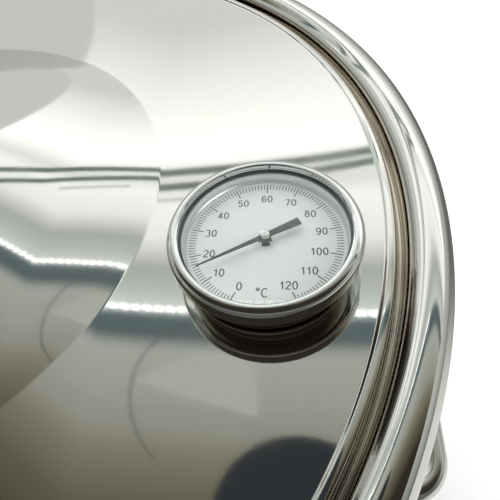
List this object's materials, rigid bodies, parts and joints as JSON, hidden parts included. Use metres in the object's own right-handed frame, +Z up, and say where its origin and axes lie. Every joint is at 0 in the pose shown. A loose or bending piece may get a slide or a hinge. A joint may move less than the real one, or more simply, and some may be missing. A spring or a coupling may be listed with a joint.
{
  "type": "brew kettle",
  "caption": "Round stainless brew kettle with a recessed lid, a dial thermometer set in the lid, side handles and a quarter-turn tap.",
  "frame": {"origin": "on the kettle's axis, on the floor under its base", "axes": "+Z up along the pot's axis; -Y out of the tap at the front; +X to the right of someone who faces the tap"},
  "size_m": [0.424, 0.4587, 0.3893],
  "materials": {
    "pot_steel": "satin rolled stainless",
    "lid_steel": "bright polished stainless",
    "bar_steel": "polished stainless",
    "bracket_steel": "satin stainless",
    "case_steel": "polished stainless",
    "bezel_chrome": "bright rolled stainless",
    "clear_glass": "clear",
    "black_rubber": "matt",
    "bright_sleeve": "satin",
    "dial_white": "satin",
    "needle_black": "satin",
    "cap_nickel": "satin",
    "stem_steel": "satin",
    "brass": "machined",
    "tap_steel": "cast and machined stainless",
    "silicone": "matt translucent white",
    "ptfe": "smooth",
    "blue_vinyl": "soft gloss"
  },
  "bodies": {
    "pot": {"pot_shell": "pot_steel", "base_disc": "pot_steel", "right_handle": "bar_steel", "left_handle": "bar_steel", "handle_brackets": "bracket_steel", "handle_rivets": "bracket_steel", "bulkhead_nipple": "tap_steel", "inner_seal": "silicone", "outer_seal": "silicone", "tap_washer": "tap_steel", "lock_nut": "tap_steel", "pickup_tube": "pot_steel", "valve_body": "tap_steel", "valve_end_cap": "tap_steel", "ball_seats": "ptfe", "stem_packing": "ptfe", "gland_nut": "tap_steel", "hose_spigot": "tap_steel"},
    "lid": {"lid_panel": "lid_steel", "lid_handle": "bar_steel", "lid_rivets": "bracket_steel", "case_gasket": "black_rubber", "dial_case": "case_steel", "bezel_ring": "bezel_chrome", "dial_glass": "clear_glass", "lens_gasket": "black_rubber", "lens_spacer": "bright_sleeve", "dial_plate": "dial_white", "dial_sleeve": "bright_sleeve", "threaded_boss": "brass", "boss_washer": "stem_steel", "boss_nut": "stem_steel", "probe_stem": "stem_steel", "probe_tip": "stem_steel", "bimetal_coil": "brass", "shaft_bush": "brass"},
    "pointer": {"pointer_shaft": "stem_steel", "pointer": "needle_black", "pointer_collar": "needle_black", "pointer_cap": "cap_nickel"},
    "tap_lever": {"valve_ball": "tap_steel", "valve_stem": "tap_steel", "tap_lever": "tap_steel", "lever_sleeve": "blue_vinyl", "lever_nut": "tap_steel"}
  },
  "joints": [
    {"name": "lid_lift", "type": "slide", "parent": "pot", "child": "lid", "axis": [0, 0, 1], "range_m": [0, 0.17]},
    {"name": "pointer_turn", "type": "hinge", "parent": "lid", "child": "pointer", "pos_m": [0.13344, -0.02353, 0.357], "axis": [0, 0, -1], "range_deg": [-37.7, 274.3]},
    {"name": "tap_turn", "type": "hinge", "parent": "pot", "child": "tap_lever", "pos_m": [0, -0.2112, 0.046], "axis": [0, 0, -1], "range_deg": [0, 90]}
  ]
}
